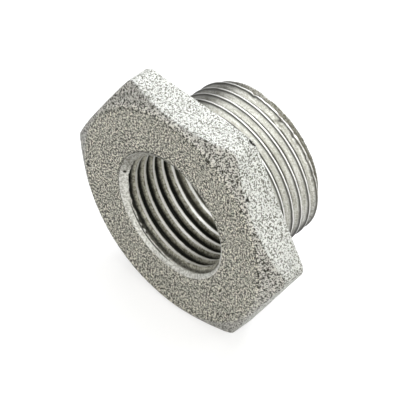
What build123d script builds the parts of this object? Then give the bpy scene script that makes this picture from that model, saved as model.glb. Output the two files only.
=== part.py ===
from build123d import *
import math
import os

# Hex reducing bushing, R 3/4 male by Rp 1/2 female, in millimetres.
# The bore runs along Y: the hex face looks towards -Y, the male thread points towards +Y.
# The origin is the centre of the hex face, and one pair of flats faces up and down (Z).

# Hex head
across_flats = 38.0
head_thickness = 6.35
corner_radius = 2.2
face_diameter = 36.2
face_bevel_degrees = 32.7

# Male end
overall_length = 19.25
neck_width = 2.2
neck_diameter = 23.9
male_end_diameter = 25.85
male_taper = 1 / 16
end_bevel_length = 1.1
end_bevel_depth = 0.75

# Bore
bore_diameter = 19.15
mouth_diameter = 21.4
relief_diameter = 21.4
relief_length = 6.0
relief_mouth_bevel = 0.6

# Both threads: Whitworth form, 14 turns to the inch, right-handed
thread_pitch = 25.4 / 14
thread_half_angle = 27.5
thread_depth = 0.6403 * thread_pitch
root_flat = 0.1667 * thread_pitch
female_root_diameter = 20.955
male_start_gap = 0.95
male_groove_phase = 8.17
female_groove_phase = 0.64
cutter_overlap = 0.2

# Worked out from the sizes above
thread_start = head_thickness + neck_width
relief_start = overall_length - relief_length
flank_slope = math.tan(math.radians(thread_half_angle))
bevel_slope = math.tan(math.radians(face_bevel_degrees))
overrun = 2 * thread_pitch


def male_crest_radius(y):
    """Crest radius of the tapered male thread at a distance y behind the hex face."""
    return male_end_diameter / 2 + (overall_length - y) * male_taper / 2


def turned(points):
    """Solid turned about the bore axis from an outline of (radius, y) points."""
    outline = make_face(Polyline(*points, close=True))
    return revolve(outline, axis=Axis.Y)


def hex_head():
    """Hexagonal prism with rounded corners, its front corners cut back by a cone."""
    outline = RegularPolygon(across_flats / 2, 6, major_radius=False, rotation=30)
    outline = fillet(outline.vertices(), corner_radius)
    prism = Rot(X=-90) * extrude(Rot(Z=30) * outline, head_thickness)
    reach = across_flats
    face_radius = face_diameter / 2
    bevel_end = (reach - face_radius) * bevel_slope
    envelope = turned(
        [(0, 0), (face_radius, 0), (reach, bevel_end), (reach, reach), (0, reach)]
    )
    return prism & envelope


def male_blank():
    """Neck and tapered spigot before the thread is cut, with a bevelled end."""
    crest_at_start = male_crest_radius(thread_start)
    crest_at_bevel = male_crest_radius(overall_length - end_bevel_length)
    step = crest_at_start - neck_diameter / 2
    end_radius = male_end_diameter / 2 - end_bevel_depth
    return turned(
        [
            (0, head_thickness / 2),
            (neck_diameter / 2, head_thickness / 2),
            (neck_diameter / 2, thread_start - step),
            (crest_at_start, thread_start),
            (crest_at_bevel, overall_length - end_bevel_length),
            (end_radius, overall_length),
            (0, overall_length),
        ]
    )


def bore():
    """Straight bore with a bevelled mouth and a plain bevelled relief at the male end."""
    bore_radius = bore_diameter / 2
    mouth_radius = mouth_diameter / 2
    relief_radius = relief_diameter / 2
    mouth_depth = mouth_radius - bore_radius
    relief_step = relief_radius - bore_radius
    return turned(
        [
            (0, -overrun),
            (mouth_radius, -overrun),
            (mouth_radius, 0),
            (bore_radius, mouth_depth),
            (bore_radius, relief_start - relief_step),
            (relief_radius, relief_start),
            (relief_radius, overall_length - relief_mouth_bevel),
            (relief_radius + relief_mouth_bevel, overall_length),
            (relief_radius + relief_mouth_bevel, overall_length + overrun),
            (0, overall_length + overrun),
        ]
    )


def groove_piece(root_radius, direction, start, phase, cone_angle):
    """Half a turn of thread groove from y = start, opening outwards (1) or inwards (-1).

    The whole groove's middle passes y = phase on the +X side.
    """
    height = thread_depth + cutter_overlap
    mouth_half = root_flat / 2 + height * flank_slope
    mouth_radius = root_radius + direction * height
    path = Helix(thread_pitch, thread_pitch / 2, root_radius, cone_angle=cone_angle)
    outline = Polyline(
        (root_radius, 0, -root_flat / 2),
        (mouth_radius, 0, -mouth_half),
        (mouth_radius, 0, mouth_half),
        (root_radius, 0, root_flat / 2),
        close=True,
    )
    groove = sweep(make_face(outline), path=path, is_frenet=True)
    turn = 360 * (start - phase) / thread_pitch
    return Pos(0, start, 0) * Rot(X=-90) * Rot(Z=turn) * groove


def half_turn_starts(start, end):
    """Where each half turn of a groove begins, from start until it is past end."""
    count = math.ceil((end - start) / (thread_pitch / 2))
    return [start + i * thread_pitch / 2 for i in range(count)]


def male_thread():
    """Tapered groove that starts in the neck and runs out past the end."""
    cone_angle = -math.degrees(math.atan(male_taper / 2))
    starts = half_turn_starts(head_thickness + male_start_gap, overall_length + thread_pitch)
    return [
        groove_piece(male_crest_radius(y) - thread_depth, 1, y, male_groove_phase, cone_angle)
        for y in starts
    ]


def female_thread():
    """Parallel groove that starts in front of the mouth and ends in the relief."""
    starts = half_turn_starts(-thread_pitch, relief_start + thread_pitch)
    return [
        groove_piece(female_root_diameter / 2, -1, y, female_groove_phase, 0)
        for y in starts
    ]


def bushing():
    """The whole casting, bored and threaded."""
    blank = hex_head() + male_blank() - bore()
    return blank - male_thread() - female_thread()


os.makedirs("parts", exist_ok=True)
export_step(bushing(), "parts/hex_bushing.step")
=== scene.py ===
import bpy
import math
import numpy as np
from mathutils import Matrix, Vector, noise


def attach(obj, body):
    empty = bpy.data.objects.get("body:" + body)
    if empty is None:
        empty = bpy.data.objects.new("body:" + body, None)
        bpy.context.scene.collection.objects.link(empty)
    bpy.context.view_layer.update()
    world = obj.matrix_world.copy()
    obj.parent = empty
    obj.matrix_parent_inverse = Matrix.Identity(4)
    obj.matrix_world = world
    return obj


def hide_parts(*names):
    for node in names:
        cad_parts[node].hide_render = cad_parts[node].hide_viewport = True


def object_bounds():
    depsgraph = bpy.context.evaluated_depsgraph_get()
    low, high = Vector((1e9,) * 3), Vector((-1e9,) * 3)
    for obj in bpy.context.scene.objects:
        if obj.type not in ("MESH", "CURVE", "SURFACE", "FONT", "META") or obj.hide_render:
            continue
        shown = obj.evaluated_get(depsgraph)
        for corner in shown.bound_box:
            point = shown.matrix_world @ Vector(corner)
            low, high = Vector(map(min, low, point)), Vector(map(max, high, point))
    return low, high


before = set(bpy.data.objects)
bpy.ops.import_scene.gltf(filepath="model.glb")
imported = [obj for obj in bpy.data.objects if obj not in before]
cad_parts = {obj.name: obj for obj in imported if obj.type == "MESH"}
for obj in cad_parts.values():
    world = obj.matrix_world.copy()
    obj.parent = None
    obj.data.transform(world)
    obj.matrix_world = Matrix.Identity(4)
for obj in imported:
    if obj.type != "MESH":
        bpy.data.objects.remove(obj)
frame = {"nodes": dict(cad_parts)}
cadLow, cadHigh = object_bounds()
print("frame loaded:", ", ".join(frame["nodes"]))

mm = 0.001  # sizes below are in millimetres and turn into metres here

bushingShape = {
    "head": {
        "acrossFlats": 38.0,
        "thickness": 6.35,
        "cornerRadius": 2.2,
        "faceRadius": 18.1,
        "bevelDegrees": 32.7,
        "mouthRadius": 10.7,
        "mouthEdge": 0.2,        # how far each edge is softened
        "faceEdge": 0.28,
        "bevelEdge": 0.35,
        "backEdge": 0.45,
        "neckEdge": 0.25,
        "edgeLimit": 0.42,       # the most of a side that a softened edge may take up
        "boreJoin": (0.2, 0.3),  # depths where the head's rows end and the next rows begin
        "neckJoin": (0.5, 0.6),
    },
    "thread": {
        "pitch": 25.4 / 14,
        "halfAngle": 27.5,
        "depthShare": 0.6403,
        "flatShare": 0.1667,
        "crestBlend": 0.09,      # rounding of crests and roots
        "rootBlend": 0.16,
    },
    "maleEnd": {
        "length": 19.25,
        "neckRadius": 11.95,
        "threadStart": 8.55,
        "endRadius": 12.925,
        "taper": 1 / 16,
        "bevelLength": 1.1,
        "bevelDepth": 0.75,
        "blend": 0.15,
        "groovePhase": 8.17,
    },
    "bore": {
        "radius": 9.575,
        "rootRadius": 10.4775,
        "reliefRadius": 10.7,
        "reliefStart": 13.25,
        "reliefBevel": 0.6,
        "blend": 0.12,
        "groovePhase": 0.64,
    },
    "rows": {
        "columnsPerSide": 46,
        "cornerDensity": 0.55,   # 0 spaces the columns evenly, more crowds them at the hex corners
        "threadStep": 0.095,
        "reliefStep": 0.5,
        "fineOverlap": 0.3,      # how far the fine rows reach into the relief
        "edgeSteps": 5,
        "joinSteps": 2,
        "faceSteps": 16,
        "bevelSteps": 5,
        "flatSteps": 8,
        "backSteps": 8,
        "rimShares": (0.25, 0.5, 0.75),
    },
    "finishes": {
        "chamferEnd": 1.1,
        "maleLead": 0.4,         # how far before the full thread the male finish starts
        "femaleLead": 0.5,       # how far before the relief the female finish ends
    },
    "casting": {
        "waveHeight": 0.05,      # slow unevenness of the casting
        "waveLength": 7.0,
        "rippleHeight": 0.02,
        "rippleLength": 1.6,
        "sink": 0.4,             # share of the wave height that is taken off everywhere
        "bevelFade": 0.5,        # width over which the face's grain turns into the bevel's
        "flatFade": 0.15,
        "bevelGrain": 0.5,
    },
    "wear": {
        "waveHeight": 0.035,     # unevenness of the cut threads
        "waveLength": 1.1,
        "sink": 0.5,
        "chipHeight": 0.38,      # torn spots on the last turn of the male end
        "chipLength": 0.8,
        "chipStart": 16.9,
        "chipAngles": (15, 95),
        "burrHeight": 0.17,      # torn inner edge of the mouth's bevel
        "burrLength": 0.7,
        "burrFull": 0.8,
        "burrEnd": 1.9,
    },
    # dark lines along edges and round the mouth, a dark line inside the mouth's bevel, and painted shade on
    # the low bevel and on the male thread's far side and underside; an arc is its middle and fade in degrees,
    # and its reach in fades
    "linesAndShade": {
        "lineWidth": 0.16,
        "lineInset": 0.12,
        "faceDepth": 0.3,
        "upperArc": (110, 40, 1.6),
        "bottomArc": (297, 8, 1.5),
        "outerStart": 0.8,
        "outerLeast": 0.4,
        "mouthDegrees": 125,
        "mouthShare": 1.4,
        # painted shade: the bevel is darker on its lower left side
        "lowBevelShadeArc": (235, 50, 2.2),
        "lowBevelShadeShare": 0.6,
        "lowBevelShadeFade": 0.4,
        "burrArc": (235, 25, 1.8),
        "burrDegrees": 232,
        "burrDepth": 0.62,
        "burrClimb": 0.19,       # towards the face for each radian
        "burrWidth": 0.075,
        "maleShadeShare": 0.55,       # painted shade on the male thread's far side and underside
        "farSideShade": (88, 30),     # start and fade in degrees
        "undersideShade": (12, 45),
    },
}

head = bushingShape["head"]
threadForm = bushingShape["thread"]
maleEnd = bushingShape["maleEnd"]
boreForm = bushingShape["bore"]
rowPlan = bushingShape["rows"]
bevelSlope = math.tan(math.radians(head["bevelDegrees"]))
castFinish, chamferFinish, maleFinish, femaleFinish, plainFinish = range(5)


def columnAngles():
    # from +X towards +Z, crowded towards the six hex corners
    n, density = rowPlan["columnsPerSide"], rowPlan["cornerDensity"]
    u = (np.arange(n) + 0.5) / n * 2 - 1
    within = math.radians(30) * ((1 - density) * u + density * u ** 3)
    return np.concatenate([math.radians(60) * side + within for side in range(6)])


def hexReach(angle):
    # distance from the bore axis to the side of the rounded hexagon
    apothem, fillet = head["acrossFlats"] / 2, head["cornerRadius"]
    fromCorner = np.abs((angle + math.radians(30)) % math.radians(60) - math.radians(30))
    centre = (apothem - fillet) / math.cos(math.radians(30))
    sideLimit = math.atan2(fillet / 2, centre + fillet * math.cos(math.radians(30)))
    under = np.maximum(fillet ** 2 - (centre * np.sin(fromCorner)) ** 2, 0)
    onFillet = centre * np.cos(fromCorner) + np.sqrt(under)
    onFlat = apothem / np.cos(math.radians(30) - fromCorner)
    return np.where(fromCorner < sideLimit, onFillet, onFlat)


def smoothMin(a, b, blend):
    h = np.clip(0.5 + 0.5 * (b - a) / blend, 0, 1)
    return b * (1 - h) + a * h - blend * h * (1 - h)


def smoothMax(a, b, blend):
    return -smoothMin(-a, -b, blend)


def aboveRoot(y, angle, phase):
    # height above the flat root on the straight flanks of the nearest groove
    pitch = threadForm["pitch"]
    middle = phase - pitch * angle / (2 * math.pi)
    offset = (y - middle + pitch / 2) % pitch - pitch / 2
    half = threadForm["flatShare"] * pitch / 2
    slope = math.tan(math.radians(threadForm["halfAngle"]))
    rise = (np.abs(offset) - half) / slope
    return smoothMax(rise, rise * 0, threadForm["rootBlend"])


def maleRadius(y, angle):
    end = maleEnd
    crest = end["endRadius"] + (end["length"] - y) * end["taper"] / 2
    depth = threadForm["depthShare"] * threadForm["pitch"]
    step = crest - end["neckRadius"]
    runIn = np.maximum(end["neckRadius"], end["neckRadius"] + y - (end["threadStart"] - step))
    fromEnd = end["length"] - y
    runOut = end["endRadius"] - end["bevelDepth"] * (1 - fromEnd / end["bevelLength"])
    blank = smoothMin(smoothMin(crest, runIn, end["blend"]), runOut, end["blend"])
    groove = crest - depth + aboveRoot(y, angle, end["groovePhase"])
    return smoothMin(blank, groove, threadForm["crestBlend"])


def boreRadius(y, angle):
    form = boreForm
    mouth = head["mouthRadius"] - y
    stepStart = form["reliefStart"] - (form["reliefRadius"] - form["radius"])
    relief = np.minimum(form["radius"] + np.clip(y - stepStart, 0, None), form["reliefRadius"])
    relief = relief + np.clip(y - (maleEnd["length"] - form["reliefBevel"]), 0, None)
    wall = smoothMax(mouth, mouth * 0 + form["radius"], form["blend"])
    wall = smoothMax(wall, relief, form["blend"])
    groove = form["rootRadius"] - aboveRoot(y, angle, form["groovePhase"])
    return smoothMax(wall, groove, threadForm["crestBlend"])


def roundedPath(corners, edges, steps):
    # rows of (radius, y) through a list of corners, each inner corner softened by its edge value
    rows, zones = [], []
    start = corners[0]
    bend = rowPlan["edgeSteps"]
    for i in range(1, len(corners)):
        here = corners[i]
        stop = here
        last = i == len(corners) - 1
        if not last:
            back, ahead = corners[i - 1] - here, corners[i + 1] - here
            backLength = np.linalg.norm(back, axis=0)
            aheadLength = np.linalg.norm(ahead, axis=0)
            setBack = np.minimum(edges[i], head["edgeLimit"] * np.minimum(backLength, aheadLength))
            stop = here + back / backLength * setBack
            leave = here + ahead / aheadLength * setBack
        for k in range(steps[i - 1]):
            t = k / steps[i - 1]
            rows.append(start * (1 - t) + stop * t)
            zones.append(i - 1)
        if not last:
            for k in range(bend):
                t = k / bend
                rows.append(stop * (1 - t) ** 2 + here * 2 * t * (1 - t) + leave * t ** 2)
                zones.append(i - 0.5)
            start = leave
    rows.append(corners[-1])
    zones.append(len(corners) - 2)
    return rows, zones


def headRows(angle):
    reach = hexReach(angle)
    same = np.ones_like(angle)
    depth = head["boreJoin"][0]
    pastHead = head["thickness"] + head["neckJoin"][0]
    corners = [
        np.array([boreRadius(depth * same, angle), depth * same]),
        np.array([head["mouthRadius"] * same, 0 * same]),
        np.array([head["faceRadius"] * same, 0 * same]),
        np.array([reach, (reach - head["faceRadius"]) * bevelSlope]),
        np.array([reach, head["thickness"] * same]),
        np.array([maleEnd["neckRadius"] * same, head["thickness"] * same]),
        np.array([maleEnd["neckRadius"] * same, pastHead * same]),
    ]
    edges = [0] + [head[name + "Edge"] for name in ("mouth", "face", "bevel", "back", "neck")]
    steps = [rowPlan[name + "Steps"] for name in ("join", "face", "bevel", "flat", "back", "join")]
    return roundedPath(corners, edges, steps)


def wallRows(radiusAt, fromY, toY, angle, step):
    count = round(abs(toY - fromY) / rowPlan[step])
    ys = np.linspace(fromY, toY, count + 1)
    same = np.ones_like(angle)
    return [np.array([radiusAt(y * same, angle), y * same]) for y in ys]


def boreFinish(y):
    if y < bushingShape["finishes"]["chamferEnd"]:
        return chamferFinish
    if y < boreForm["reliefStart"] - bushingShape["finishes"]["femaleLead"]:
        return femaleFinish
    return plainFinish


def bushingRows(angle):
    # one closed loop of rows: face, bevel, flats, back, male thread, end, bore; with each row's finish
    length = maleEnd["length"]
    rows, zones = headRows(angle)
    finish = [chamferFinish if zone < 1 else castFinish for zone in zones]
    neckStart = head["thickness"] + head["neckJoin"][1]
    fineEnd = boreForm["reliefStart"] + rowPlan["fineOverlap"]
    rimEnd = length - boreForm["reliefBevel"]
    male = wallRows(maleRadius, neckStart, length, angle, "threadStep")
    inner = wallRows(boreRadius, length, rimEnd, angle, "reliefStep")[:-1]
    inner += wallRows(boreRadius, rimEnd, fineEnd, angle, "reliefStep")[:-1]
    inner += wallRows(boreRadius, fineEnd, head["boreJoin"][1], angle, "threadStep")
    rim = [male[-1] * (1 - t) + inner[0] * t for t in rowPlan["rimShares"]]
    maleStart = maleEnd["threadStart"] - bushingShape["finishes"]["maleLead"]
    finish += [maleFinish if row[1][0] > maleStart else plainFinish for row in male]
    finish += [plainFinish] * len(rim)
    finish += [boreFinish(row[1][0]) for row in inner]
    return np.array(rows + male + rim + inner), np.array(finish)


def vertexNormals(grid):
    # grid is (rows, columns, 3), closed both ways
    alongRows = np.roll(grid, -1, 0) - np.roll(grid, 1, 0)
    alongColumns = np.roll(grid, -1, 1) - np.roll(grid, 1, 1)
    normal = np.cross(alongColumns, alongRows)
    return normal / np.linalg.norm(normal, axis=2, keepdims=True)


def castRise(p):
    # slow waves and small ripples of the sand casting
    casting = bushingShape["casting"]
    rise = casting["waveHeight"] * noise.noise(p / casting["waveLength"])
    rise += casting["rippleHeight"] * noise.noise(p / casting["rippleLength"])
    return rise - casting["waveHeight"] * casting["sink"]


def wornRise(p, y, angle, finish):
    # unevenness of the machined walls, with chips on the male end and a burr inside the mouth
    wear = bushingShape["wear"]
    rise = 0
    if finish != plainFinish:
        rise = wear["waveHeight"] * noise.noise(p / wear["waveLength"])
    low, high = (math.radians(v) for v in wear["chipAngles"])
    if finish == maleFinish and y > wear["chipStart"] and low < angle < high:
        rise -= wear["chipHeight"] * max(noise.noise(p / wear["chipLength"]), 0)
    if finish in (chamferFinish, femaleFinish) and y < wear["burrEnd"]:
        burr = wear["burrHeight"] * noise.noise(p / wear["burrLength"])
        rise += burr * min(y / wear["burrFull"], 1)
    return rise - wear["waveHeight"] * wear["sink"]


def pastBevel(y, beyond):
    # 0 in front of the bevel's outer edge and 1 behind it
    fade = bushingShape["casting"]["flatFade"]
    return np.clip((y - np.maximum(beyond, 0) * bevelSlope) / fade - 0.5, 0, 1)


def castRoughness(y, radius, finish):
    # 1 on the flat front face, half on its bevel, 0 on the flats
    casting = bushingShape["casting"]
    beyond = radius - head["faceRadius"]
    onBevel = np.clip(beyond / casting["bevelFade"], 0, 1)
    rough = (1 - (1 - casting["bevelGrain"]) * onBevel) * (1 - pastBevel(y, beyond))
    return np.where((finish == castFinish)[:, None], rough, 0)


def arcShare(angle, middle, fade, reach):
    return np.clip(reach - np.abs(angle - math.radians(middle)) / math.radians(fade), 0, 1)


def darkLinesAndShade(y, radius, angle, finish):
    # 1 where the surface is darkened: dark lines along the bevel's edges and round the mouth, a dark line
    #                                  inside the mouth's bevel, and painted shade on the low bevel and on the
    #                                  male thread's far side and underside
    linesAndShade = bushingShape["linesAndShade"]
    width, inset = linesAndShade["lineWidth"], linesAndShade["lineInset"]
    beyond = radius - head["faceRadius"]
    behind = y - np.maximum(beyond, 0) * bevelSlope
    onFace = y < linesAndShade["faceDepth"]
    upper = arcShare(angle, *linesAndShade["upperArc"])
    faceLine = np.exp(-((beyond / width) ** 2)) * onFace
    faceLine = faceLine * np.maximum(upper, arcShare(angle, *linesAndShade["bottomArc"]))
    outerLine = np.exp(-(((behind - inset) / width) ** 2)) * (beyond > linesAndShade["outerStart"])
    outerLine = outerLine * np.maximum(upper, linesAndShade["outerLeast"])
    mouthLine = np.exp(-(((radius - head["mouthRadius"] - inset) / width) ** 2)) * onFace
    mouthSide = np.cos(angle - math.radians(linesAndShade["mouthDegrees"]))
    mouthLine = mouthLine * linesAndShade["mouthShare"] * np.clip(linesAndShade["mouthShare"] * mouthSide, 0, 1)
    # painted shade on the bevel's lower left side
    lowBevelShade = np.clip(beyond / linesAndShade["lowBevelShadeFade"], 0, 1) * (1 - pastBevel(y, beyond))
    lowBevelShade = lowBevelShade * linesAndShade["lowBevelShadeShare"] * arcShare(angle, *linesAndShade["lowBevelShadeArc"])
    onCast = np.maximum.reduce([faceLine, outerLine, mouthLine, lowBevelShade])
    climb = linesAndShade["burrClimb"] * (angle - math.radians(linesAndShade["burrDegrees"]))
    burrLine = np.exp(-(((y - linesAndShade["burrDepth"] + climb) / linesAndShade["burrWidth"]) ** 2))
    burrLine = burrLine * arcShare(angle, *linesAndShade["burrArc"])
    # painted shade on the male thread's far side and underside
    turn = (np.degrees(angle) + 180) % 360 - 180
    farStart, farFade = linesAndShade["farSideShade"]
    lowStart, lowFade = linesAndShade["undersideShade"]
    farSideShade = np.clip((turn - farStart) / farFade, 0, 1)
    undersideShade = np.clip((lowStart - turn) / lowFade, 0, 1)
    maleShade = linesAndShade["maleShadeShare"] * np.maximum(farSideShade, undersideShade) * np.ones_like(y)
    parts = ((castFinish, onCast), (chamferFinish, burrLine), (maleFinish, maleShade))
    return sum(np.where((finish == kind)[:, None], share, 0) for kind, share in parts)


def buildBushing():
    angle = columnAngles()
    rows, finish = bushingRows(angle)
    radius, y = rows[:, 0], rows[:, 1]
    grid = np.stack([radius * np.cos(angle), y, radius * np.sin(angle)], axis=2)
    normal = vertexNormals(grid)
    outward = np.sign(-normal[2, :, 1].sum())
    rowCount, columnCount = grid.shape[:2]
    for r in range(rowCount):
        for c in range(columnCount):
            p = Vector(grid[r, c])
            rise = castRise(p) if finish[r] == castFinish else wornRise(p, y[r, c], angle[c], finish[r])
            grid[r, c] += normal[r, c] * outward * rise
    marks = {
        "roughCast": castRoughness(y, radius, finish),
        "darkLinesAndShade": darkLinesAndShade(y, radius, angle, finish),
    }
    index = np.arange(rowCount * columnCount).reshape(rowCount, columnCount)
    a, b = index, np.roll(index, -1, 1)
    c, d = np.roll(b, -1, 0), np.roll(index, -1, 0)
    faces = np.stack([a, b, c, d], axis=2).reshape(-1, 4)
    mesh = bpy.data.meshes.new("hexBushing")
    mesh.from_pydata((grid.reshape(-1, 3) * mm).tolist(), [], faces.tolist())
    mesh.polygons.foreach_set("material_index", np.repeat(finish, columnCount).astype(np.int32))
    mesh.polygons.foreach_set("use_smooth", np.ones(len(faces), dtype=bool))
    for label, values in marks.items():
        store = mesh.attributes.new(label, "FLOAT", "POINT")
        store.data.foreach_set("value", values.astype(np.float32).ravel())
    mesh.update()
    piece = bpy.data.objects.new("hexBushing", mesh)
    bpy.context.scene.collection.objects.link(piece)
    print("bushing mesh:", rowCount, "rows,", columnCount, "columns,", 2 * len(faces), "triangles")
    return piece


bushing = buildBushing()


def feed(tree, socket, value):
    # another socket is linked in, and a number or tuple is set on the socket itself
    if isinstance(value, bpy.types.NodeSocket):
        tree.links.new(value, socket)
    else:
        socket.default_value = value


def newGroup(name, vectors, numbers, results):
    group = bpy.data.node_groups.new(name, "ShaderNodeTree")
    for label in vectors:
        group.interface.new_socket(label, in_out="INPUT", socket_type="NodeSocketVector")
    for label in numbers:
        group.interface.new_socket(label, in_out="INPUT", socket_type="NodeSocketFloat")
    for label in results:
        group.interface.new_socket(label, in_out="OUTPUT", socket_type="NodeSocketFloat")
    given = group.nodes.new("NodeGroupInput").outputs
    out = group.nodes.new("NodeGroupOutput").inputs
    return group, given, out


def useGroup(tree, group, values):
    node = tree.nodes.new("ShaderNodeGroup")
    node.node_tree = group
    for label, value in values.items():
        feed(tree, node.inputs[label], value)
    return node.outputs


def addMath(tree, operation, *values):
    node = tree.nodes.new("ShaderNodeMath")
    node.operation = operation
    for socket, value in zip(node.inputs, values):
        feed(tree, socket, value)
    return node.outputs[0]


def addRamp(tree, value, low, high, toLow=0.0, toHigh=1.0):
    node = tree.nodes.new("ShaderNodeMapRange")
    node.interpolation_type = "SMOOTHSTEP"
    limits = {"From Min": low, "From Max": high, "To Min": toLow, "To Max": toHigh}
    for label, limit in limits.items():
        feed(tree, node.inputs[label], limit)
    feed(tree, node.inputs["Value"], value)
    return node.outputs["Result"]


def addNoise(tree, vector, scale, detail=2.0, roughness=0.5):
    node = tree.nodes.new("ShaderNodeTexNoise")
    feed(tree, node.inputs["Vector"], vector)
    feed(tree, node.inputs["Scale"], scale)
    node.inputs["Detail"].default_value = detail
    node.inputs["Roughness"].default_value = roughness
    return node.outputs["Fac"]


def splitVector(tree, vector):
    node = tree.nodes.new("ShaderNodeSeparateXYZ")
    feed(tree, node.inputs[0], vector)
    return node.outputs


def mixColours(tree, amount, low, high):
    node = tree.nodes.new("ShaderNodeMix")
    node.data_type = "RGBA"
    feed(tree, node.inputs[0], amount)
    for socket, value in ((node.inputs[6], low), (node.inputs[7], high)):  # the colour sockets A and B
        feed(tree, socket, (*value, 1.0) if isinstance(value, tuple) else value)
    return node.outputs[2]


zincForm = {
    "broadScale": 0.55,      # sizes against the fine grain
    "mottleScale": 0.05,
    "fineNoise": (2.0, 0.6),  # detail and roughness
    "broadNoise": (1.0, 0.5),
    "mottleNoise": (3.0, 0.6),
    "fineShare": 0.65,
    "speckLevels": (0.455, 0.53),
    "mottleLevels": (0.35, 0.65),
}


def makeZincGrain():
    # the sandy grain of galvanised castings: specks, slow mottling and a height
    form = zincForm
    names = ["Speck", "Mottle", "Height"]
    group, given, out = newGroup("zincGrain", ["Vector"], ["Scale", "Spare"], names)
    place = given["Vector"]
    coarse = addMath(group, "MULTIPLY", given["Scale"], form["broadScale"])
    slow = addMath(group, "MULTIPLY", given["Scale"], form["mottleScale"])
    fine = addNoise(group, place, given["Scale"], *form["fineNoise"])
    broad = addNoise(group, place, coarse, *form["broadNoise"])
    fine = addMath(group, "MULTIPLY", fine, form["fineShare"])
    broad = addMath(group, "MULTIPLY", broad, 1 - form["fineShare"])
    mixed = addMath(group, "ADD", fine, broad)
    bright = addMath(group, "ADD", mixed, given["Spare"])
    mottle = addNoise(group, place, slow, *form["mottleNoise"])
    group.links.new(addRamp(group, bright, *form["speckLevels"]), out["Speck"])
    group.links.new(addRamp(group, mottle, *form["mottleLevels"]), out["Mottle"])
    group.links.new(mixed, out["Height"])
    return group


dentForm = {
    "raggedScale": 3500.0,
    "raggedShare": 0.8,
    "edge": (1.0, 1.6),
}


def makeDent():
    # one small casting pit or nick: a mask that is 1 inside it, with a ragged rim
    group, given, out = newGroup("castDent", ["Vector", "Centre"], ["Radius"], ["Mask"])
    apart = group.nodes.new("ShaderNodeVectorMath")
    apart.operation = "DISTANCE"
    group.links.new(given["Vector"], apart.inputs[0])
    group.links.new(given["Centre"], apart.inputs[1])
    away = addMath(group, "DIVIDE", apart.outputs["Value"], given["Radius"])
    ragged = addNoise(group, given["Vector"], dentForm["raggedScale"])
    ragged = addMath(group, "MULTIPLY", ragged, dentForm["raggedShare"])
    away = addMath(group, "ADD", away, ragged)
    group.links.new(addRamp(group, away, *dentForm["edge"], 1.0, 0.0), out["Mask"])
    return group


turningForm = {
    "stretch": 0.0012,       # metres of pattern for each radian round the axis
    "noise": (3.0, 0.65),
    "levels": (0.35, 0.65),
}


def makeToolMarks():
    # fine tool marks that run round the bore axis
    group, given, out = newGroup("toolMarks", ["Vector"], ["Scale"], ["Streak", "Height"])
    parts = splitVector(group, given["Vector"])
    across = addMath(group, "MULTIPLY", parts["X"], parts["X"])
    upward = addMath(group, "MULTIPLY", parts["Z"], parts["Z"])
    radius = addMath(group, "SQRT", addMath(group, "ADD", across, upward))
    turn = addMath(group, "ARCTAN2", parts["Z"], parts["X"])
    line = group.nodes.new("ShaderNodeCombineXYZ")
    group.links.new(addMath(group, "MULTIPLY", turn, turningForm["stretch"]), line.inputs["X"])
    group.links.new(parts["Y"], line.inputs["Y"])
    group.links.new(radius, line.inputs["Z"])
    marks = addNoise(group, line.outputs[0], given["Scale"], *turningForm["noise"])
    group.links.new(addRamp(group, marks, *turningForm["levels"]), out["Streak"])
    group.links.new(marks, out["Height"])
    return group


def makeThreadMarks():
    # where a point lies across a screw thread: its root, its crest, and the crest's front edge
    sizes = ["Phase", "Crest Edge", "Line Width", "Root Start", "Root End"]
    group, given, out = newGroup("threadMarks", ["Vector"], sizes, ["Root", "Crest", "Front"])
    pitch = threadForm["pitch"] * mm
    parts = splitVector(group, given["Vector"])
    turn = addMath(group, "ARCTAN2", parts["Z"], parts["X"])
    advance = addMath(group, "MULTIPLY", turn, pitch / (2 * math.pi))
    along = addMath(group, "SUBTRACT", parts["Y"], given["Phase"])
    along = addMath(group, "ADD", along, advance)
    along = addMath(group, "ADD", along, pitch / 2)
    offset = addMath(group, "SUBTRACT", addMath(group, "FLOORED_MODULO", along, pitch), pitch / 2)
    across = addMath(group, "ABSOLUTE", offset)
    edge, width = given["Crest Edge"], given["Line Width"]

    def soften(value, start, end):
        # 1 below start and 0 above end
        span = addMath(group, "SUBTRACT", end, start)
        share = addMath(group, "DIVIDE", addMath(group, "SUBTRACT", value, start), span)
        return addRamp(group, share, 0.0, 1.0, 1.0, 0.0)

    toFront = addMath(group, "ABSOLUTE", addMath(group, "SUBTRACT", offset, edge))
    group.links.new(soften(across, given["Root Start"], given["Root End"]), out["Root"])
    group.links.new(soften(edge, across, addMath(group, "ADD", across, width)), out["Crest"])
    group.links.new(soften(toFront, 0.0, width), out["Front"])
    return group


patchForm = {
    "scale": 1600.0,         # of the ragged border
    "detail": 3.0,
    "ragged": 1.6,
    "speckShare": 0.6,       # how much of the darkening reaches the bright specks
}


def makeWearAndShadePatch():
    # a mask that rises to Share past a ragged border along one axis
    numbers = ["Along", "Speck", "Start", "End", "Share"]
    group, given, out = newGroup("wearAndShadePatch", ["Vector"], numbers, ["Mask"])
    ragged = patchForm["ragged"] * mm
    patchy = addNoise(group, given["Vector"], patchForm["scale"], patchForm["detail"])
    patchy = addMath(group, "MULTIPLY", patchy, ragged)
    along = addMath(group, "ADD", given["Along"], patchy)
    along = addMath(group, "SUBTRACT", along, ragged / 2)
    mask = addRamp(group, along, given["Start"], given["End"], 0.0, given["Share"])
    kept = addRamp(group, given["Speck"], 0.0, 1.0, 1.0, patchForm["speckShare"])
    group.links.new(addMath(group, "MULTIPLY", mask, kept), out["Mask"])
    return group


zincGrain = makeZincGrain()
castDent = makeDent()
toolMarks = makeToolMarks()
threadMarks = makeThreadMarks()
wearAndShadePatch = makeWearAndShadePatch()

zincSurface = {
    "pitAndShade": (0.02, 0.019, 0.014),  # also the tone of the dark lines and of the painted shade
    "specular": 0.25,
}


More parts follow.
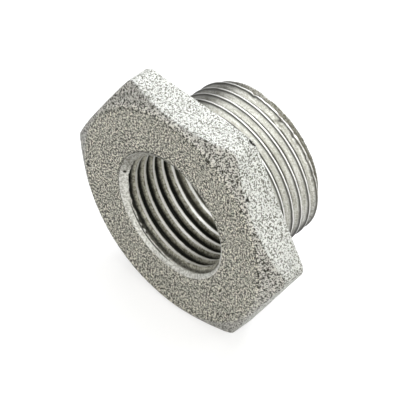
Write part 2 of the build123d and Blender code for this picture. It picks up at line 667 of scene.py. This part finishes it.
def newMaterial(name):
    material = bpy.data.materials.new(name)
    material.use_nodes = True
    tree = material.node_tree
    shader = tree.nodes["Principled BSDF"].inputs
    place = tree.nodes.new("ShaderNodeTexCoord").outputs["Object"]
    return material, tree, shader, place


def readAttribute(tree, label):
    node = tree.nodes.new("ShaderNodeAttribute")
    node.attribute_name = label
    return node.outputs["Fac"]


def addDents(tree, place, colour, dents):
    # paints each dent dark, and gives their masks so that a height can sink there too
    masks = []
    for centre, radius in dents:
        middle = tuple(v * mm for v in centre)
        values = {"Vector": place, "Centre": middle, "Radius": radius * mm}
        mask = useGroup(tree, castDent, values)["Mask"]
        colour = mixColours(tree, mask, colour, zincSurface["pitAndShade"])
        masks.append(mask)
    return colour, masks


def finishShader(tree, shader, look, colour, rough, height):
    bump = tree.nodes.new("ShaderNodeBump")
    bump.inputs["Strength"].default_value = 1.0
    bump.inputs["Distance"].default_value = look["bumpHeight"]
    tree.links.new(height, bump.inputs["Height"])
    tree.links.new(colour, shader["Base Color"])
    tree.links.new(addRamp(tree, rough, 0.0, 1.0, *look["roughness"]), shader["Roughness"])
    tree.links.new(bump.outputs["Normal"], shader["Normal"])
    shader["Metallic"].default_value = look["metallic"]
    shader["Specular IOR Level"].default_value = zincSurface["specular"]


castIron = {
    # on the front face, on its bevel, and on the flats and the back
    "light": ((0.98, 0.96, 0.85), (0.93, 0.915, 0.86), (0.83, 0.84, 0.805)),
    "dark": ((0.012, 0.011, 0.006), (0.03, 0.028, 0.018), (0.13, 0.13, 0.10)),
    "spare": (-0.014, 0.0, 0.016),  # the more, the fewer dark specks
    "fade": 0.90,            # how bright the darker mottling stays
    "linesAndShadeShare": 0.5,
    "grainScale": 5000.0,
    "metallic": 0.06,
    "roughness": (0.60, 0.42),
    "bumpHeight": 0.00028,
    # centre in millimetres and radius of each dent
    "dents": [
        ((-9.44, 0.0, 2.37), 0.42),
        ((5.48, 0.0, -9.07), 0.45),
        ((-17.54, 0.0, -1.78), 0.35),
        ((14.52, 1.29, 12.85), 0.35),
        ((-15.31, 0.9, 11.02), 0.35),
        ((10.45, 5.85, 18.87), 0.23),
        ((10.72, 5.78, 18.75), 0.23),
        ((11.0, 5.85, 18.55), 0.21),
        ((11.2, 6.0, 18.38), 0.18),
    ],
}


def makeCastIron():
    look = castIron
    material, tree, shader, place = newMaterial("galvanisedCastIron")
    front = readAttribute(tree, "roughCast")
    bevelLevel = bushingShape["casting"]["bevelGrain"]
    toBevel = addRamp(tree, front, 0.0, bevelLevel)
    toFace = addRamp(tree, front, bevelLevel, 1.0)

    def zoneColour(shadeAndHighlightTones):
        onFace, onBevel, onFlats = shadeAndHighlightTones
        return mixColours(tree, toFace, mixColours(tree, toBevel, onFlats, onBevel), onFace)

    onFace, onBevel, onFlats = look["spare"]
    spare = addRamp(tree, front, 0.0, bevelLevel, onFlats, onBevel)
    spare = addMath(tree, "ADD", spare, addMath(tree, "MULTIPLY", toFace, onFace - onBevel))
    values = {"Vector": place, "Scale": look["grainScale"], "Spare": spare}
    grain = useGroup(tree, zincGrain, values)
    light = zoneColour(look["light"])
    faded = mixColours(tree, look["fade"], (0.0, 0.0, 0.0), light)
    light = mixColours(tree, grain["Mottle"], faded, light)
    colour = mixColours(tree, grain["Speck"], zoneColour(look["dark"]), light)
    # dark edge lines, and painted shade on the low bevel
    linesAndShade = addMath(tree, "MULTIPLY", readAttribute(tree, "darkLinesAndShade"), look["linesAndShadeShare"])
    colour = mixColours(tree, linesAndShade, colour, zincSurface["pitAndShade"])
    colour, masks = addDents(tree, place, colour, look["dents"])
    height = grain["Height"]
    for mask in masks:
        height = addMath(tree, "SUBTRACT", height, mask)
    finishShader(tree, shader, look, colour, grain["Speck"], height)
    return material


cutMetal = {
    "linesAndShadeLevels": (0.15, 0.8),
    "grainHeight": 0.5,      # how much the grain lifts the surface, against the tool marks
}

cutLooks = {
    "cutChamfer": {
        "flank": (0.97, 0.975, 0.945),
        "dull": (0.46, 0.455, 0.42),
        "metallic": 0.12,
        "roughness": (0.56, 0.40),
        "streakScale": 1400.0,
        "grainScale": 3800.0,
        "grainShare": 0.65,
        "bumpHeight": 0.00010,
        # painted shade: the upper part of the mouth's bevel is darker
        "patch": {"tone": (0.13, 0.125, 0.095), "axis": "Z", "from": (0.5, 4.5), "share": 0.78},
        "dents": [
            ((-10.05, 0.5, 1.77), 0.32),
            ((-7.1, 0.9, -6.75), 0.34),
            ((-6.4, 0.9, -7.42), 0.40),
            ((-5.6, 0.95, -8.0), 0.36),
        ],
    },
    "maleThread": {
        "flank": (0.98, 0.98, 0.95),
        "dull": (0.57, 0.56, 0.50),
        "metallic": 0.4,
        "roughness": (0.44, 0.31),
        "streakScale": 2600.0,
        "grainScale": 4400.0,
        "grainShare": 0.5,
        "bumpHeight": 0.00010,
        "patch": {"tone": (0.20, 0.19, 0.15), "axis": "Y", "from": (17.5, 18.4), "share": 0.85},
        "thread": {
            "Phase": maleEnd["groovePhase"],
            "Crest Edge": 0.72,
            "Line Width": 0.20,
            "Root Start": 0.12,
            "Root End": 0.26,
        },
        # tone and share of each mark across the thread: painted shade in the root and along the crest's front
        # edge, and a painted highlight on the crest
        "shadeAndHighlightTones": {
            "Root": ((0.05, 0.048, 0.038), 0.97),
            "Crest": ((0.99, 0.99, 0.97), 0.7),
            "Front": ((0.05, 0.048, 0.038), 0.97),
        },
    },
    "femaleThread": {
        "flank": (0.56, 0.55, 0.47),
        "dull": (0.15, 0.145, 0.11),
        "metallic": 0.3,
        "roughness": (0.52, 0.38),
        "streakScale": 2600.0,
        "grainScale": 3600.0,
        "grainShare": 0.6,
        "bumpHeight": 0.00012,
        # painted shade: the thread is darker deeper in the bore
        "patch": {"tone": (0.30, 0.29, 0.24), "axis": "Y", "from": (9.0, 11.5), "share": 0.38},
        "thread": {
            "Phase": boreForm["groovePhase"],
            "Crest Edge": 0.735,
            "Line Width": 0.04,
            "Root Start": 0.26,
            "Root End": 0.54,
        },
        # painted shade in the root, with dark dirt, and a painted highlight on the crest
        "shadeAndHighlightTones": {
            "Root": ((0.003, 0.004, 0.003), 0.98),
            "Crest": ((0.84, 0.84, 0.81), 1.0),
        },
        "firstRoot": (1.05, 1.65, 0.5),  # the root's share rises from this third value between the two depths
    },
    "plainWall": {
        "flank": (0.70, 0.70, 0.67),
        "dull": (0.34, 0.335, 0.29),
        "metallic": 0.25,
        "roughness": (0.62, 0.46),
        "streakScale": 1100.0,
        "grainScale": 3600.0,
        "grainShare": 0.6,
        "bumpHeight": 0.00012,
    },
}


def paintThread(tree, place, colour, look):
    values = {label: size * mm for label, size in look["thread"].items()}
    marks = useGroup(tree, threadMarks, {"Vector": place, **values})
    for label, (tone, share) in look["shadeAndHighlightTones"].items():
        amount = addMath(tree, "MULTIPLY", marks[label], share)
        if label == "Root" and "firstRoot" in look:
            start, end, least = look["firstRoot"]
            depth = splitVector(tree, place)["Y"]
            inward = addRamp(tree, depth, start * mm, end * mm, least, 1.0)
            amount = addMath(tree, "MULTIPLY", amount, inward)
        colour = mixColours(tree, amount, colour, tone)
    return colour


def paintPatch(tree, place, colour, speck, patch):
    start, end = (v * mm for v in patch["from"])
    values = {
        "Vector": place,
        "Along": splitVector(tree, place)[patch["axis"]],
        "Speck": speck,
        "Start": start,
        "End": end,
        "Share": patch["share"],
    }
    mask = useGroup(tree, wearAndShadePatch, values)["Mask"]
    return mixColours(tree, mask, colour, patch["tone"])


def makeCutMetal(name):
    look = cutLooks[name]
    material, tree, shader, place = newMaterial(name)
    marks = useGroup(tree, toolMarks, {"Vector": place, "Scale": look["streakScale"]})
    grain = useGroup(tree, zincGrain, {"Vector": place, "Scale": look["grainScale"]})
    fromGrain = addMath(tree, "MULTIPLY", grain["Speck"], look["grainShare"])
    fromMarks = addMath(tree, "MULTIPLY", marks["Streak"], 1 - look["grainShare"])
    blend = addMath(tree, "ADD", fromGrain, fromMarks)
    colour = mixColours(tree, blend, look["dull"], look["flank"])
    if "thread" in look:
        colour = paintThread(tree, place, colour, look)
    if "patch" in look:
        colour = paintPatch(tree, place, colour, grain["Speck"], look["patch"])
    # a dark line inside the mouth's bevel, and painted shade on the male thread's far side and underside
    linesAndShade = addRamp(tree, readAttribute(tree, "darkLinesAndShade"), *cutMetal["linesAndShadeLevels"])
    colour = mixColours(tree, linesAndShade, colour, zincSurface["pitAndShade"])
    colour, masks = addDents(tree, place, colour, look.get("dents", []))
    height = addMath(tree, "MULTIPLY", grain["Height"], cutMetal["grainHeight"])
    height = addMath(tree, "ADD", marks["Height"], height)
    finishShader(tree, shader, look, colour, blend, height)
    return material


bushing.data.materials.append(makeCastIron())
for name in ("cutChamfer", "maleThread", "femaleThread", "plainWall"):  # in the order of the finishes
    bushing.data.materials.append(makeCutMetal(name))
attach(bushing, "root")
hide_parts("hex_bushing")
print("finishes made")

studio = {
    "floorSize": 4.0,
    "floorColour": (0.40, 0.40, 0.40),
    "floorRoughness": 0.9,
    "floorGlow": 0.74,       # seen directly or reflected, and it keeps the shadow
    "floorFade": (0.3, 1.6),  # metres over which the glow rises to white
    "skyStrength": 0.07,
    "lampSize": 0.5,
    "lampReach": 0.8,
    "coolTint": (0.985, 1.0, 1.03),
    "warmTint": (1.0, 0.965, 0.85),
    "faintTint": (1.0, 0.985, 0.93),
    # azimuth from -Y towards +X and elevation in degrees, watts, and which tint
    "lamps": {
        "overhead": (0, 90, 1.6, "coolTint"),
        "back": (180, 58, 4.4, "coolTint"),
        "backLeft": (240, 58, 1.9, "coolTint"),
        "backRight": (135, 28, 1.5, "coolTint"),
        "right": (112, 12, 0.6, "warmTint"),
        "frontRight": (27, 6, 2.9, "faintTint"),
        "above": (45, 58, 1.3, "warmTint"),
    },
}


def towardsDirection(azimuth, elevation):
    a, e = math.radians(azimuth), math.radians(elevation)
    return Vector((math.sin(a) * math.cos(e), -math.cos(a) * math.cos(e), math.sin(e)))


def seenDirectly(tree):
    # 1 for what the camera, a gloss or a clear material sees
    path = tree.nodes.new("ShaderNodeLightPath").outputs
    seen = addMath(tree, "ADD", path["Is Camera Ray"], path["Is Transmission Ray"])
    seen = addMath(tree, "ADD", seen, path["Is Glossy Ray"])
    return addMath(tree, "MINIMUM", seen, 1.0)


def makeFloor():
    size = studio["floorSize"]
    corners = [(-size, -size, 0), (size, -size, 0), (size, size, 0), (-size, size, 0)]
    mesh = bpy.data.meshes.new("studioFloor")
    mesh.from_pydata(corners, [], [(0, 1, 2, 3)])
    floor = bpy.data.objects.new("studioFloor", mesh)
    floor.location = (0, 0, cadLow[2])
    bpy.context.scene.collection.objects.link(floor)
    material, tree, shader, place = newMaterial("paleFloor")
    shader["Base Color"].default_value = (*studio["floorColour"], 1)
    shader["Roughness"].default_value = studio["floorRoughness"]
    shader["Emission Color"].default_value = (1, 1, 1, 1)
    away = tree.nodes.new("ShaderNodeVectorMath")
    away.operation = "LENGTH"
    tree.links.new(place, away.inputs[0])
    near, far = studio["floorFade"]
    rising = addRamp(tree, away.outputs["Value"], near, far, studio["floorGlow"], 1.0)
    glow = addMath(tree, "MULTIPLY", seenDirectly(tree), rising)
    tree.links.new(glow, shader["Emission Strength"])
    mesh.materials.append(material)


def makeSky():
    # faint and warm on the object, white where it is seen
    world = bpy.data.worlds.new("studioSky")
    world.use_nodes = True
    bpy.context.scene.world = world
    tree = world.node_tree
    sky = tree.nodes["Background"].inputs
    seen = seenDirectly(tree)
    tree.links.new(mixColours(tree, seen, studio["warmTint"], (1.0, 1.0, 1.0)), sky["Color"])
    rest = addMath(tree, "MULTIPLY", seen, 1 - studio["skyStrength"])
    tree.links.new(addMath(tree, "ADD", rest, studio["skyStrength"]), sky["Strength"])


def makeLamp(name, azimuth, elevation, power, tint):
    towards = towardsDirection(azimuth, elevation)
    data = bpy.data.lights.new(name, "AREA")
    data.shape = "DISK"
    data.energy = power
    data.color = studio[tint]
    data.size = studio["lampSize"]
    lamp = bpy.data.objects.new(name, data)
    lamp.location = towards * studio["lampReach"]
    lamp.rotation_mode = "QUATERNION"
    lamp.rotation_quaternion = (-towards).to_track_quat("-Z", "Y")
    bpy.context.scene.collection.objects.link(lamp)


view = {
    "azimuth": 44.5,
    "elevation": 45.1,
    "roll": 0.96,
    "distance": 0.691,
    "lens": 421.0,
    "aimRight": 0.00447,     # the frame's centre, seen from the camera, from the middle of the hex face
    "aimUp": 0.00238,
}


def makeCamera():
    back = towardsDirection(view["azimuth"], view["elevation"])
    roll = math.radians(view["roll"])
    levelRight = Vector((0, 0, 1)).cross(back).normalized()
    levelUp = back.cross(levelRight)
    right = levelRight * math.cos(roll) + levelUp * math.sin(roll)
    up = levelUp * math.cos(roll) - levelRight * math.sin(roll)
    data = bpy.data.cameras.new("studioCamera")
    data.lens = view["lens"]
    camera = bpy.data.objects.new("studioCamera", data)
    camera.rotation_mode = "QUATERNION"
    camera.rotation_quaternion = Matrix((right, up, back)).transposed().to_quaternion()
    camera.location = right * view["aimRight"] + up * view["aimUp"] + back * view["distance"]
    bpy.context.scene.collection.objects.link(camera)
    bpy.context.scene.camera = camera


makeFloor()
makeSky()
for name, settings in studio["lamps"].items():
    makeLamp(name, *settings)
makeCamera()
bpy.context.scene.view_settings.view_transform = "Standard"
print("studio made")
